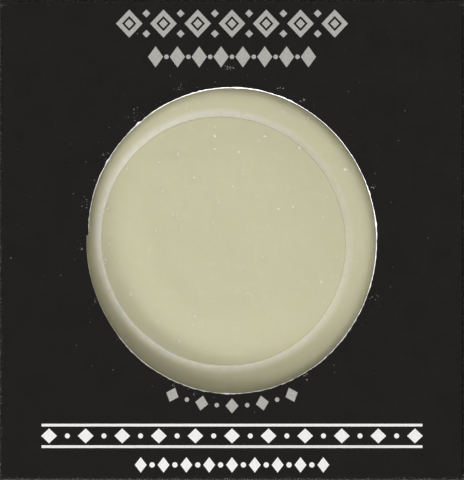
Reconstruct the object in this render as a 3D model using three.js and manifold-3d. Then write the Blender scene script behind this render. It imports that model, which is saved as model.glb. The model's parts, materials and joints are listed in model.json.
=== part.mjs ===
// Shaving soap puck in its black folding carton, with a die-cut window in the front panel.
//
// Millimetres, +Z up. The carton lies on its back with the window facing up. The origin is the
// centre of the back panel's outer face, +X points to the right of the front panel and +Y to
// its top end.
//
// The carton is one sheet of board, cut and creased. Each stretch of board between two creases
// is a part of its own. Both closures hang from the front panel, so a closure, its tuck flap
// and the two dust flaps that it covers are built once, as an "end", and used twice.

import * as THREE from 'three';
import { mergeVertices } from 'three/addons/utils/BufferGeometryUtils.js';
import Module from 'manifold-3d';

const wasm = await Module();
wasm.setup();

// ---------------------------------------------------------------- carton
const CARTON_WIDTH = 77.0;
const CARTON_HEIGHT = 79.6;
const CARTON_DEPTH = 25.4;
const BOARD = 0.45;
const FOLD_RADIUS = 0.7;
const FOLD_STEPS = 5;
const CREASE_STEPS = 10;
const CREASE_GAP = 0.1;
const TUCK_CREASE_RELIEF = 0.3;

const WINDOW_HALF_WIDTH = 24.17;
const WINDOW_HALF_HEIGHT = 25.49;
const WINDOW_CENTRE_Y = 0.07;
const WINDOW_POINTS = 96;

// ---------------------------------------------------------------- glued seam
const GLUE_FLAP_WIDTH = 12.0;
const GLUE_FLAP_HALF_LENGTH = 29.5;
const GLUE_FLAP_TAPER = 4.0;
const GLUE_THICKNESS = 0.1;
const GLUE_CLEARANCE = 0.01;
const GLUE_WIDTH = 6.0;
const GLUE_HALF_LENGTH = 24.0;

// ---------------------------------------------------------------- end flaps
const CLOSURE_SIDE_RELIEF = 0.7;
const TUCK_LENGTH = 11.0;
const TUCK_TILT = THREE.MathUtils.degToRad(9.5);
const TUCK_SIDE_RELIEF = 1.1;
const TUCK_CORNER = 6.0;
const DUST_LENGTH = 18.0;
const DUST_FRONT_RELIEF = 0.3;
const DUST_FRONT_TAPER = THREE.MathUtils.degToRad(34);
const DUST_BACK_HEIGHT = 1.9;
const DUST_BACK_TAPER = THREE.MathUtils.degToRad(10);
const DUST_CORNER = 1.5;

// ---------------------------------------------------------------- soap
const PUCK_RADIUS = 36.3;
const PUCK_THICKNESS = 23.8;
const PUCK_CENTRE_X = -1.39;
const PUCK_CENTRE_Y = -0.17;
const PUCK_REST_GAP = 0.05;
const FACE_FLAT_RADIUS = 14.2;
const FACE_ROLL_DROP = 0.8;
const FACE_ROLL_POWER = 2.6;
const GROOVE_RADIUS = 20.0;
const GROOVE_DEPTH = 0.95;
const RIDGE_RADIUS = 21.1;
const RIDGE_DROP = 0.5;
const SHOULDER_POWER = 1.15;
const SHOULDER_FULLNESS = 1.86;
const RIM_HALF_BAND = 0.8;
const LATHE_SEGMENTS = 72;
const FACE_STEPS = 5;
const RIDGE_STEPS = 4;
const SHOULDER_STEPS = 14;

const BOARD_BLACK = 0x23201e;
const BOARD_INSIDE = 0xc9c5ba;
const GLUE_COLOUR = 0xe6dfc8;
const SOAP_COLOUR = 0xc6c3a4;

const carton = new THREE.Group();

function addPart(parent, name, geometry, colour, roughness) {
  const material = new THREE.MeshStandardMaterial({ color: colour, roughness, metalness: 0 });
  const mesh = new THREE.Mesh(geometry, material);
  mesh.name = name;
  parent.add(mesh);
  return mesh;
}

function shapeFrom(points) {
  return new THREE.Shape(points.map(([x, y]) => new THREE.Vector2(x, y)));
}

function arcPoints(cx, cy, radius, from, to, steps) {
  const points = [];
  for (let i = 0; i <= steps; i += 1) {
    const angle = from + ((to - from) * i) / steps;
    points.push([cx + radius * Math.cos(angle), cy + radius * Math.sin(angle)]);
  }
  return points;
}

function extrude(shape, depth, curveSegments = 12) {
  return new THREE.ExtrudeGeometry(shape, { depth, bevelEnabled: false, curveSegments });
}

function toManifold(geometry) {
  const bare = geometry.clone();
  bare.deleteAttribute('normal');
  bare.deleteAttribute('uv');
  const merged = mergeVertices(bare, 1e-5);
  const vertProperties = new Float32Array(merged.attributes.position.array);
  const triVerts = new Uint32Array(merged.index.array);
  return new wasm.Manifold(new wasm.Mesh({ numProp: 3, vertProperties, triVerts }));
}

function toGeometry(manifold) {
  const mesh = manifold.getMesh();
  const geometry = new THREE.BufferGeometry();
  geometry.setAttribute('position', new THREE.BufferAttribute(mesh.vertProperties, 3));
  geometry.setIndex(new THREE.BufferAttribute(mesh.triVerts, 1));
  geometry.computeVertexNormals();
  return geometry;
}

// ---------------------------------------------------------------- front and back panels
const panelHalfWidth = CARTON_WIDTH / 2 - FOLD_RADIUS;
const creaseSetback = BOARD + CREASE_GAP;
const frontHalfHeight = CARTON_HEIGHT / 2 - creaseSetback;

function rectangle(left, right, halfHeight) {
  return [[left, -halfHeight], [right, -halfHeight], [right, halfHeight], [left, halfHeight]];
}

function frontPanelGeometry() {
  const outline = shapeFrom(rectangle(-panelHalfWidth, panelHalfWidth, frontHalfHeight));
  const window = new THREE.Path();
  window.absellipse(0, WINDOW_CENTRE_Y, WINDOW_HALF_WIDTH, WINDOW_HALF_HEIGHT, 0, 2 * Math.PI);
  outline.holes.push(window);
  return extrude(outline, BOARD, WINDOW_POINTS);
}

function backPanelGeometry() {
  const rawEdge = -CARTON_WIDTH / 2 + BOARD / 2;
  const halfHeight = CARTON_HEIGHT / 2 - CREASE_GAP;
  return extrude(shapeFrom(rectangle(rawEdge, panelHalfWidth, halfHeight)), BOARD);
}

const frontPanel = addPart(carton, 'front_panel', frontPanelGeometry(), BOARD_BLACK, 0.5);
frontPanel.position.z = CARTON_DEPTH - BOARD;
addPart(carton, 'back_panel', backPanelGeometry(), BOARD_BLACK, 0.5);

// ---------------------------------------------------------------- side panels
// The section of a side panel: a wall with a rounded fold at each end, drawn for the right.
// backLevel is the height of the outer face of the board that the back fold runs into.
const seamLevel = BOARD + GLUE_THICKNESS + 2 * GLUE_CLEARANCE;
const sideHalfHeight = CARTON_HEIGHT / 2 - BOARD - 2 * CREASE_GAP - BOARD;

function sideSection(backLevel) {
  const foldX = panelHalfWidth;
  const frontZ = CARTON_DEPTH - FOLD_RADIUS;
  const backZ = backLevel + FOLD_RADIUS;
  const inner = FOLD_RADIUS - BOARD;
  const quarter = Math.PI / 2;
  return [
    ...arcPoints(foldX, backZ, FOLD_RADIUS, -quarter, 0, FOLD_STEPS),
    ...arcPoints(foldX, frontZ, FOLD_RADIUS, 0, quarter, FOLD_STEPS),
    ...arcPoints(foldX, frontZ, inner, quarter, 0, FOLD_STEPS),
    ...arcPoints(foldX, backZ, inner, 0, -quarter, FOLD_STEPS),
  ];
}

function addSidePanel(name, section) {
  const panel = addPart(carton, name, extrude(shapeFrom(section), 2 * sideHalfHeight), BOARD_BLACK, 0.5);
  panel.rotation.x = Math.PI / 2;
  panel.position.y = sideHalfHeight;
}

addSidePanel('right_side_panel', sideSection(0));
addSidePanel('left_side_panel', sideSection(seamLevel).map(([x, z]) => [-x, z]).reverse());

// ---------------------------------------------------------------- glued seam
// The glue flap turns in from the left side panel and lies on the inside of the back panel.
function glueFlapGeometry() {
  const crease = -panelHalfWidth;
  const edge = -CARTON_WIDTH / 2 + GLUE_FLAP_WIDTH;
  const edgeHalfLength = GLUE_FLAP_HALF_LENGTH - GLUE_FLAP_TAPER;
  return extrude(shapeFrom([
    [crease, -GLUE_FLAP_HALF_LENGTH],
    [edge, -edgeHalfLength],
    [edge, edgeHalfLength],
    [crease, GLUE_FLAP_HALF_LENGTH],
  ]), BOARD);
}

function glueLineGeometry() {
  const centreX = -CARTON_WIDTH / 2 + GLUE_FLAP_WIDTH / 2;
  const left = centreX - GLUE_WIDTH / 2;
  const right = centreX + GLUE_WIDTH / 2;
  const straight = GLUE_HALF_LENGTH - GLUE_WIDTH / 2;
  return extrude(shapeFrom([
    [left, -straight],
    ...arcPoints(centreX, -straight, GLUE_WIDTH / 2, Math.PI, 2 * Math.PI, 2 * FOLD_STEPS),
    [right, straight],
    ...arcPoints(centreX, straight, GLUE_WIDTH / 2, 0, Math.PI, 2 * FOLD_STEPS),
  ]), GLUE_THICKNESS);
}

const glueFlap = addPart(carton, 'glue_flap', glueFlapGeometry(), BOARD_INSIDE, 0.85);
glueFlap.position.z = seamLevel;
const glueLine = addPart(carton, 'glue_line', glueLineGeometry(), GLUE_COLOUR, 0.4);
glueLine.position.z = BOARD + GLUE_CLEARANCE;

// ---------------------------------------------------------------- flaps that fold
// A flap in its own frame: the crease is a round bead of board along X at the origin, the
// flap reaches along +Y, its outer face is on +Z, and the outline trims it in plan.
function flapGeometry(outline, halfWidth, length) {
  const reach = length + BOARD;
  const section = shapeFrom([
    ...arcPoints(0, 0, BOARD / 2, Math.PI / 2, 1.5 * Math.PI, CREASE_STEPS),
    [reach, -BOARD / 2],
    [reach, BOARD / 2],
  ]);
  const bar = extrude(section, 2 * halfWidth);
  bar.translate(0, 0, -halfWidth);
  bar.rotateY(-Math.PI / 2);
  bar.rotateX(-Math.PI / 2);
  const plan = extrude(shapeFrom(outline), 4 * BOARD);
  plan.translate(0, 0, -2 * BOARD);
  return toGeometry(toManifold(bar).intersect(toManifold(plan)));
}

// Rounds the corner at b of the path a-b-c with an arc that is tangent to both sides.
function roundedCorner(a, b, c, radius) {
  const corner = new THREE.Vector2(...b);
  const toA = new THREE.Vector2(...a).sub(corner).normalize();
  const toC = new THREE.Vector2(...c).sub(corner).normalize();
  const half = Math.acos(THREE.MathUtils.clamp(toA.dot(toC), -1, 1)) / 2;
  const bisector = toA.clone().add(toC).normalize();
  const centre = corner.clone().addScaledVector(bisector, radius / Math.sin(half));
  const start = corner.clone().addScaledVector(toA, radius / Math.tan(half)).sub(centre);
  const end = corner.clone().addScaledVector(toC, radius / Math.tan(half)).sub(centre);
  let sweep = end.angle() - start.angle();
  if (sweep > Math.PI) sweep -= 2 * Math.PI;
  if (sweep < -Math.PI) sweep += 2 * Math.PI;
  const from = start.angle();
  return arcPoints(centre.x, centre.y, radius, from, from + sweep, 2 * FOLD_STEPS);
}

const closureCreaseY = CARTON_HEIGHT / 2 - BOARD / 2;
const closureCreaseZ = CARTON_DEPTH - BOARD / 2;
const tuckCreaseZ = BOARD + CREASE_GAP + BOARD / 2;
const closureLength = closureCreaseZ - tuckCreaseZ;
const dustCreaseX = CARTON_WIDTH / 2 - BOARD / 2;
const dustCreaseY = CARTON_HEIGHT / 2 - BOARD - CREASE_GAP - BOARD / 2;

function closureGeometry() {
  const halfWidth = CARTON_WIDTH / 2 - CLOSURE_SIDE_RELIEF;
  const edge = closureLength - BOARD / 2 - TUCK_CREASE_RELIEF;
  const outline = [[-halfWidth, -BOARD], [halfWidth, -BOARD], [halfWidth, edge], [-halfWidth, edge]];
  return flapGeometry(outline, halfWidth + BOARD, closureLength);
}

function tuckGeometry() {
  const halfWidth = CARTON_WIDTH / 2 - TUCK_SIDE_RELIEF;
  const root = [halfWidth, -BOARD];
  const tip = [halfWidth, TUCK_LENGTH];
  const otherTip = [-halfWidth, TUCK_LENGTH];
  const otherRoot = [-halfWidth, -BOARD];
  const outline = [
    root,
    ...roundedCorner(root, tip, otherTip, TUCK_CORNER),
    ...roundedCorner(tip, otherTip, otherRoot, TUCK_CORNER),
    otherRoot,
  ];
  return flapGeometry(outline, halfWidth + BOARD, TUCK_LENGTH);
}

// The dust flap's crease stands along Z. In the flap's frame X is the height above the middle
// of the carton's depth, with the front panel on the +X side.
function dustGeometry() {
  const middle = CARTON_DEPTH / 2;
  const frontRoot = CARTON_DEPTH - BOARD - DUST_FRONT_RELIEF - middle;
  const backRoot = DUST_BACK_HEIGHT - middle;
  const frontTip = frontRoot - DUST_LENGTH * Math.tan(DUST_FRONT_TAPER);
  const backTip = backRoot + DUST_LENGTH * Math.tan(DUST_BACK_TAPER);
  const a = [backRoot, -BOARD];
  const b = [frontRoot, -BOARD];
  const c = [frontRoot, 0];
  const d = [frontTip, DUST_LENGTH];
  const e = [backTip, DUST_LENGTH];
  const f = [backRoot, 0];
  const outline = [
    a,
    b,
    c,
    ...roundedCorner(c, d, e, DUST_CORNER),
    ...roundedCorner(d, e, f, DUST_CORNER),
    f,
  ];
  return flapGeometry(outline, middle, DUST_LENGTH);
}

// One end of the carton, drawn at the top. The outer face of every flap points along +Y.
function addEnd(endName, sideNames) {
  const end = new THREE.Group();
  carton.add(end);

  const closure = addPart(end, `${endName}_closure_panel`, closureGeometry(), BOARD_BLACK, 0.5);
  closure.position.set(0, closureCreaseY, closureCreaseZ);
  closure.rotation.x = -Math.PI / 2;

  const tuck = addPart(end, `${endName}_tuck_flap`, tuckGeometry(), BOARD_BLACK, 0.5);
  tuck.position.set(0, closureCreaseY, tuckCreaseZ);
  tuck.rotation.x = Math.PI - TUCK_TILT;

  for (const side of [-1, 1]) {
    const pivot = new THREE.Group();
    pivot.position.set(side * dustCreaseX, dustCreaseY, CARTON_DEPTH / 2);
    pivot.rotation.z = (side * Math.PI) / 2;
    end.add(pivot);
    const name = `${endName}_${sideNames[side]}_dust_flap`;
    const dust = addPart(pivot, name, dustGeometry(), BOARD_BLACK, 0.5);
    dust.rotation.y = -Math.PI / 2;
  }
  return end;
}

addEnd('top', { '-1': 'left', 1: 'right' });
const bottomEnd = addEnd('bottom', { '-1': 'right', 1: 'left' });
bottomEnd.rotation.z = Math.PI;

// ---------------------------------------------------------------- soap puck
// Height above the middle plane of the puck's face, groove, ridge and shoulder at a radius.
function faceHeight(radius) {
  const rolled = Math.max(0, radius - FACE_FLAT_RADIUS) / (GROOVE_RADIUS - FACE_FLAT_RADIUS);
  return PUCK_THICKNESS / 2 - FACE_ROLL_DROP * rolled ** FACE_ROLL_POWER;
}

function ridgeHeight(radius) {
  const along = (radius - GROOVE_RADIUS) / (RIDGE_RADIUS - GROOVE_RADIUS);
  const rise = (GROOVE_DEPTH - RIDGE_DROP) * (0.5 - 0.5 * Math.cos(Math.PI * along));
  return PUCK_THICKNESS / 2 - GROOVE_DEPTH + rise;
}

function shoulderHeight(radius) {
  const along = (radius - RIDGE_RADIUS) / (PUCK_RADIUS - RIDGE_RADIUS);
  const crest = PUCK_THICKNESS / 2 - RIDGE_DROP;
  const fall = 1 - (1 - along ** SHOULDER_POWER) ** (1 / SHOULDER_FULLNESS);
  return crest - (crest - RIM_HALF_BAND) * fall;
}

function steps(from, to, count, height) {
  const points = [];
  for (let i = 1; i <= count; i += 1) {
    const radius = from + ((to - from) * i) / count;
    points.push([radius, height(radius)]);
  }
  return points;
}

// Half of the profile of the puck: the stamped face, the groove, the ridge and the shoulder,
// whose points crowd towards the rim, where it turns down.
function puckGeometry() {
  const flat = [[0, PUCK_THICKNESS / 2], [FACE_FLAT_RADIUS, PUCK_THICKNESS / 2]];
  const shoulder = [];
  for (let i = 1; i <= SHOULDER_STEPS; i += 1) {
    const along = Math.sin((Math.PI / 2) * (i / SHOULDER_STEPS));
    const radius = RIDGE_RADIUS + (PUCK_RADIUS - RIDGE_RADIUS) * along;
    shoulder.push([radius, shoulderHeight(radius)]);
  }
  const upper = [
    ...flat,
    ...steps(FACE_FLAT_RADIUS, GROOVE_RADIUS, FACE_STEPS, faceHeight),
    ...steps(GROOVE_RADIUS, RIDGE_RADIUS, RIDGE_STEPS, ridgeHeight),
    ...shoulder,
  ];
  const lower = upper.map(([radius, height]) => [radius, -height]).reverse();
  const profile = [...upper, ...lower].reverse();
  return new THREE.LatheGeometry(
    profile.map(([radius, height]) => new THREE.Vector2(radius, height)),
    LATHE_SEGMENTS,
  );
}

const puck = addPart(carton, 'soap_puck', puckGeometry(), SOAP_COLOUR, 0.55);
puck.rotation.x = Math.PI / 2;
puck.position.set(PUCK_CENTRE_X, PUCK_CENTRE_Y, BOARD + PUCK_REST_GAP + PUCK_THICKNESS / 2);

export default carton;
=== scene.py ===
import cmath
import json
import math
import random

import bmesh
import bpy
from mathutils import Matrix, Vector, geometry, noise


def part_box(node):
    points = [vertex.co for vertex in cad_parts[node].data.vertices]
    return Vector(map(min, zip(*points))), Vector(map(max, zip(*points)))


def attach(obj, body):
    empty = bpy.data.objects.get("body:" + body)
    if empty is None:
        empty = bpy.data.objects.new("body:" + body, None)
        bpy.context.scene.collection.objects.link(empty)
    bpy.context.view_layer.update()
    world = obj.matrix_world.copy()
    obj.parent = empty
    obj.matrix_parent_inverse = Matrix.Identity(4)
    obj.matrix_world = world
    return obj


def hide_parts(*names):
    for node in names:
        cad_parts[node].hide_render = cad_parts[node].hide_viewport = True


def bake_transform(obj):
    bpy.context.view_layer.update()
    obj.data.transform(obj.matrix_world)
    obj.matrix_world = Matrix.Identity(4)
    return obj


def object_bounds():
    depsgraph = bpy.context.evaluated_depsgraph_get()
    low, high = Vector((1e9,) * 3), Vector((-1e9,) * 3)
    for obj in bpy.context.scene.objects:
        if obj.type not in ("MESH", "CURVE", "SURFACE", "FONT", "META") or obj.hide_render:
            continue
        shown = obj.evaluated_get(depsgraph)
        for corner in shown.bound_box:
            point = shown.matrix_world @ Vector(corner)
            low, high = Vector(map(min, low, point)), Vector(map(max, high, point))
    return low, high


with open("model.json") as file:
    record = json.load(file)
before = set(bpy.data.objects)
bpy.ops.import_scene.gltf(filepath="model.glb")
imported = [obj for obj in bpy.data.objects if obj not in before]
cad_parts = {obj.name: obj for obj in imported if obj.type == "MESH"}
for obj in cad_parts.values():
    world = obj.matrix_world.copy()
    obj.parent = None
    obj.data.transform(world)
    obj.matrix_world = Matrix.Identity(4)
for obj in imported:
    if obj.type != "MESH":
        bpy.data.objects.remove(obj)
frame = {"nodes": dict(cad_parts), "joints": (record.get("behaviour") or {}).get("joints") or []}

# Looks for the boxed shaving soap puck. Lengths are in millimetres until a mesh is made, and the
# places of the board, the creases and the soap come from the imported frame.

cad_bounds = [list(corner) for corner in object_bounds()]

MM = 0.001
SEED = 7

# ---------------------------------------------------------------- sizes read from the frame
JOINTS = {joint["name"]: joint for joint in frame["joints"]}


def box_mm(node):
    low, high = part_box(node)
    return low / MM, high / MM


def hinge_mm(joint):
    return Vector(JOINTS[joint]["pos_m"]) / MM


HALF_WIDTH = cad_bounds[1][0] / MM
HALF_HEIGHT = cad_bounds[1][1] / MM
DEPTH = cad_bounds[1][2] / MM
FRONT_LOW, FRONT_HIGH = box_mm("front_panel")
BOARD = FRONT_HIGH.z - FRONT_LOW.z
HALF_BOARD = BOARD / 2
FOLD_RADIUS = HALF_WIDTH - FRONT_HIGH.x - HALF_BOARD
SIDE_END = box_mm("right_side_panel")[1].y
BACK_LEFT = box_mm("back_panel")[0].x
BACK_END = box_mm("back_panel")[1].y
GLUE_LOW, GLUE_HIGH = box_mm("glue_flap")
CLOSURE_CREASE = hinge_mm("top_closure_swing")
TUCK_CREASE = hinge_mm("top_tuck_fold")
DUST_CREASE = hinge_mm("top_right_dust_fold")
CLOSURE_WIDENING = 0.65  # keeps light out of the corners
CLOSURE_HALF_WIDTH = box_mm("top_closure_panel")[1].x + CLOSURE_WIDENING
TUCK_HALF_WIDTH = box_mm("top_tuck_flap")[1].x
DUST_LOW, DUST_HIGH = box_mm("top_right_dust_flap")
PUCK_LOW, PUCK_HIGH = box_mm("soap_puck")
PUCK_CENTRE = (PUCK_LOW + PUCK_HIGH) / 2
PUCK_RADIUS = (PUCK_HIGH.x - PUCK_LOW.x) / 2
PUCK_HALF = (PUCK_HIGH.z - PUCK_LOW.z) / 2

WINDOW_REACH = 30.0
window_points = [
    vertex.co / MM
    for vertex in frame["nodes"]["front_panel"].data.vertices
    if abs(vertex.co.x / MM) < WINDOW_REACH and abs(vertex.co.y / MM) < WINDOW_REACH
]
WINDOW_HALF_WIDTH = max(point.x for point in window_points)
WINDOW_TOP = max(point.y for point in window_points)
WINDOW_BOTTOM = min(point.y for point in window_points)
WINDOW_CENTRE = complex(0, (WINDOW_TOP + WINDOW_BOTTOM) / 2)
WINDOW_HALF_HEIGHT = (WINDOW_TOP - WINDOW_BOTTOM) / 2

# ---------------------------------------------------------------- sizes of the looks
CREASE_RADIUS = 0.3
CREASE_FLAT = 0.4
CREASE_REACH = CREASE_RADIUS + CREASE_FLAT
CREASE_STEPS = 8
CORNER_STEPS = 8
CUT_BEVEL = 0.05
SHEET_SPACING = 2.4
STRIP_SPACING = 2.4
TUCK_LENGTH = 11.0
TUCK_TILT = math.radians(9.5)
TUCK_CORNER = 6.0
GLUE_FLAP_TAPER = 4.0
DUST_CORNER = 1.5
DUST_BACK_TAPER = math.radians(10)
DUST_FRONT_TAPER = math.radians(34)
SHARP_ANGLE = math.radians(32)
FRONT_BOW = 0.10
FRONT_FOLD_GAP = 0.015
# The side panels' ends step back beside the dust flaps' creases: where, and the rows on each side.
STEP_AT, STEP_INNER, STEP_OUTER = 0.05, 0.04, 0.06


# ---------------------------------------------------------------- camera and lights
CAMERA_DISTANCE = 1400.0
FACE_OUT_OF_VIEW = 0.25
# Name, azimuth and elevation in degrees, distance and size in metres, watts, colour.
LIGHTS = [
    ("key_light", 51, 72, 1.2, (1.35, 1.35), 11.3, (1.0, 0.98, 0.985)),
    ("low_light", 238, 8.5, 1.2, (1.2, 0.5), 38.5, (0.93, 0.93, 1.0)),
    ("fill_light", 231, 50, 1.2, (0.7, 0.7), 3.7, (1.0, 0.98, 0.96)),
]
WORLD_COLOUR = (1.0, 0.97, 0.92, 1)
WORLD_STRENGTH = 0.03


def make_camera():
    data = bpy.data.cameras.new("camera")
    data.sensor_fit = "HORIZONTAL"
    data.sensor_width = 36.0
    data.lens = data.sensor_width * CAMERA_DISTANCE / (2 * HALF_WIDTH - FACE_OUT_OF_VIEW)
    data.clip_start = 0.05
    data.clip_end = 20.0
    camera = bpy.data.objects.new("camera", data)
    camera.location = Vector((0, 0, DEPTH + CAMERA_DISTANCE)) * MM
    bpy.context.scene.collection.objects.link(camera)
    bpy.context.scene.camera = camera


def make_area_light(name, azimuth, elevation, distance, size, power, colour):
    data = bpy.data.lights.new(name, "AREA")
    data.shape = "RECTANGLE"
    data.size, data.size_y = size
    data.energy = power
    data.color = colour
    light = bpy.data.objects.new(name, data)
    turn, lift = math.radians(azimuth), math.radians(elevation)
    flat = math.cos(lift)
    direction = Vector((flat * math.cos(turn), flat * math.sin(turn), math.sin(lift)))
    light.location = direction * distance
    light.rotation_euler = direction.to_track_quat("Z", "Y").to_euler()
    bpy.context.scene.collection.objects.link(light)


def make_lights():
    for light in LIGHTS:
        make_area_light(*light)
    world = bpy.data.worlds.new("studio")
    world.use_nodes = True
    background = world.node_tree.nodes["Background"]
    background.inputs["Color"].default_value = WORLD_COLOUR
    background.inputs["Strength"].default_value = WORLD_STRENGTH
    bpy.context.scene.world = world
    bpy.context.scene.view_settings.view_transform = "Standard"


# ---------------------------------------------------------------- material building
def fill(tree, node, inputs):
    """Links or sets the node's inputs."""
    for key, value in inputs.items():
        if isinstance(value, bpy.types.NodeSocket):
            tree.links.new(value, node.inputs[key])
        else:
            node.inputs[key].default_value = value


def add_node(tree, kind, inputs, **settings):
    made = tree.nodes.new(kind)
    for key, value in settings.items():
        setattr(made, key, value)
    fill(tree, made, inputs)
    return made


def new_material(name):
    """The material, its tree and shader, and the place on the object."""
    material = bpy.data.materials.new(name)
    material.use_nodes = True
    tree = material.node_tree
    coords = add_node(tree, "ShaderNodeTexCoord", {}).outputs["Object"]
    return material, tree, tree.nodes["Principled BSDF"], coords


def stretched(tree, coords, scale):
    return add_node(tree, "ShaderNodeMapping", {"Vector": coords, "Scale": scale}).outputs["Vector"]


def noise_of(tree, coords, feature_mm, detail=3.0, roughness=0.55):
    """Noise whose features are about feature_mm across, from 0 to 1."""
    inputs = {"Vector": coords, "Scale": 1 / (feature_mm * MM), "Detail": detail, "Roughness": roughness}
    return add_node(tree, "ShaderNodeTexNoise", inputs).outputs["Fac"]


def remap(tree, value, low, high, to_low=0.0, to_high=1.0):
    inputs = {"Value": value, "From Min": low, "From Max": high, "To Min": to_low, "To Max": to_high}
    made = add_node(tree, "ShaderNodeMapRange", inputs, interpolation_type="SMOOTHSTEP")
    return made.outputs["Result"]


def maths(tree, operation, a, b=0.0):
    return add_node(tree, "ShaderNodeMath", {0: a, 1: b}, operation=operation).outputs["Value"]


def product(tree, a, b):
    return maths(tree, "MULTIPLY", a, b)


def vector_maths(tree, operation, a, b=(0, 0, 0)):
    return add_node(tree, "ShaderNodeVectorMath", {0: a, 1: b}, operation=operation)


def mix_colour(tree, factor, a, b):
    """The colour a, mixed towards b by factor. The sockets are the mix node's colour ones."""
    return add_node(tree, "ShaderNodeMix", {0: factor, 6: a, 7: b}, data_type="RGBA").outputs[2]


def specks(tree, coords, cell_mm, radius_mm, share):
    """A mask of small dots: about one dot of radius_mm in every cell, in this share of the cells."""
    made = add_node(tree, "ShaderNodeTexVoronoi", {"Vector": coords, "Scale": 1 / (cell_mm * MM)})
    reach = radius_mm / cell_mm
    near = remap(tree, made.outputs["Distance"], 0.5 * reach, reach, 1.0, 0.0)
    pick = add_node(tree, "ShaderNodeSeparateColor", {"Color": made.outputs["Color"]})
    chosen = maths(tree, "LESS_THAN", pick.outputs["Red"], share)
    return product(tree, near, chosen)


def add_bump(tree, bsdf, height, depth_mm, strength):
    inputs = {"Height": height, "Distance": depth_mm * MM, "Strength": strength}
    fill(tree, bsdf, {"Normal": add_node(tree, "ShaderNodeBump", inputs).outputs["Normal"]})


WEAR_AND_HIGHLIGHT_INNER, WEAR_AND_HIGHLIGHT_OUTER = 0.75, 0.12  # where the fold wear and painted highlight on a fold start and are full, from the outside


# Fold marks: crack-shaped lightening on the folded corners, partly worn ink and partly a painted highlight
# where the folds catch the light.
def fold_wear_and_highlight(tree, coords):
    """1 on the folded corners of the carton, falling to 0 a little way along each panel."""
    split = add_node(tree, "ShaderNodeSeparateXYZ", {"Vector": coords})
    edge = None
    for axis, half in (("X", HALF_WIDTH), ("Y", HALF_HEIGHT)):
        away = maths(tree, "ABSOLUTE", split.outputs[axis])
        near = remap(tree, away, (half - WEAR_AND_HIGHLIGHT_INNER) * MM, (half - WEAR_AND_HIGHLIGHT_OUTER) * MM)
        edge = near if edge is None else maths(tree, "MAXIMUM", edge, near)
    height = split.outputs["Z"]
    top = remap(tree, height, (DEPTH - WEAR_AND_HIGHLIGHT_INNER) * MM, (DEPTH - WEAR_AND_HIGHLIGHT_OUTER) * MM)
    return product(tree, edge, top)


BLACK_DARK, BLACK_LIGHT = (0.0043, 0.0034, 0.0027, 1), (0.0059, 0.0048, 0.0039, 1)
BLACK_GRAIN = (0.0073, 0.0060, 0.0049, 1)
# The second colour on the next line is the pale grey of the folds: worn ink and a painted highlight.
BLACK_SPECK, BLACK_WORN_AND_LIT = (0.24, 0.23, 0.22, 1), (0.30, 0.29, 0.27, 1)
SILVER_DARK, SILVER_LIGHT = (0.31, 0.31, 0.285, 1), (0.40, 0.40, 0.37, 1)
WHITE_DARK, WHITE_LIGHT = (0.75, 0.745, 0.71, 1), (0.84, 0.84, 0.82, 1)
INK_GAP = (0.08, 0.075, 0.07, 1)
RAW_DARK, RAW_LIGHT = (0.60, 0.58, 0.52, 1), (0.68, 0.66, 0.60, 1)
RAW_FIBRE, RAW_FLECK = (0.50, 0.47, 0.41, 1), (0.33, 0.30, 0.25, 1)
CORE_LIGHT, CORE_DARK = (0.97, 0.965, 0.95, 1), (0.76, 0.74, 0.69, 1)
GLUE_DARK, GLUE_LIGHT = (0.70, 0.63, 0.46, 1), (0.84, 0.79, 0.64, 1)
FLOOR_DARK, FLOOR_LIGHT = (0.70, 0.70, 0.69, 1), (0.75, 0.75, 0.74, 1)
CRUMB_DARK, CRUMB_LIGHT = (0.66, 0.65, 0.49, 1), (0.73, 0.72, 0.57, 1)
DUST_DARK, DUST_LIGHT = (0.13, 0.13, 0.135, 1), (0.42, 0.42, 0.42, 1)


def make_black_board():
    material, tree, bsdf, coords = new_material("black_board")
    cloud = noise_of(tree, coords, 9.0, 4.0)
    grain = noise_of(tree, coords, 0.35, 2.0)
    ink = mix_colour(tree, cloud, BLACK_DARK, BLACK_LIGHT)
    ink = mix_colour(tree, remap(tree, grain, 0.35, 0.75), ink, BLACK_GRAIN)
    pale = specks(tree, coords, 1.7, 0.07, 0.22)
    fine = specks(tree, stretched(tree, coords, (1.0, 1.3, 1.0)), 0.8, 0.035, 0.18)
    pale, fine = product(tree, pale, 0.35), product(tree, fine, 0.22)
    ink = mix_colour(tree, maths(tree, "MAXIMUM", pale, fine), ink, BLACK_SPECK)
    cracks = noise_of(tree, coords, 0.22, 3.0, 0.7)
    # Fold wear and painted highlight: the folded corners are lightened in crack-shaped marks.
    worn_and_lit = product(tree, fold_wear_and_highlight(tree, coords), remap(tree, cracks, 0.55, 0.72))
    ink = mix_colour(tree, product(tree, worn_and_lit, 0.60), ink, BLACK_WORN_AND_LIT)
    shine = remap(tree, noise_of(tree, coords, 5.0, 3.0), 0.3, 0.7, 0.40, 0.50)
    fill(tree, bsdf, {"Base Color": ink, "Roughness": shine, "Specular IOR Level": 0.1})
    add_bump(tree, bsdf, grain, 0.012, 0.6)
    return material


def make_print_ink(name, dark, light, metallic):
    material, tree, bsdf, coords = new_material(name)
    grain = noise_of(tree, coords, 0.3, 3.0, 0.7)
    colour = mix_colour(tree, remap(tree, grain, 0.3, 0.7), dark, light)
    gaps = specks(tree, coords, 0.7, 0.06, 0.25)
    colour = mix_colour(tree, product(tree, gaps, 0.5), colour, INK_GAP)
    fill(tree, bsdf, {"Base Color": colour, "Metallic": metallic, "Roughness": 0.5})
    add_bump(tree, bsdf, grain, 0.01, 0.6)
    return material


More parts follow.
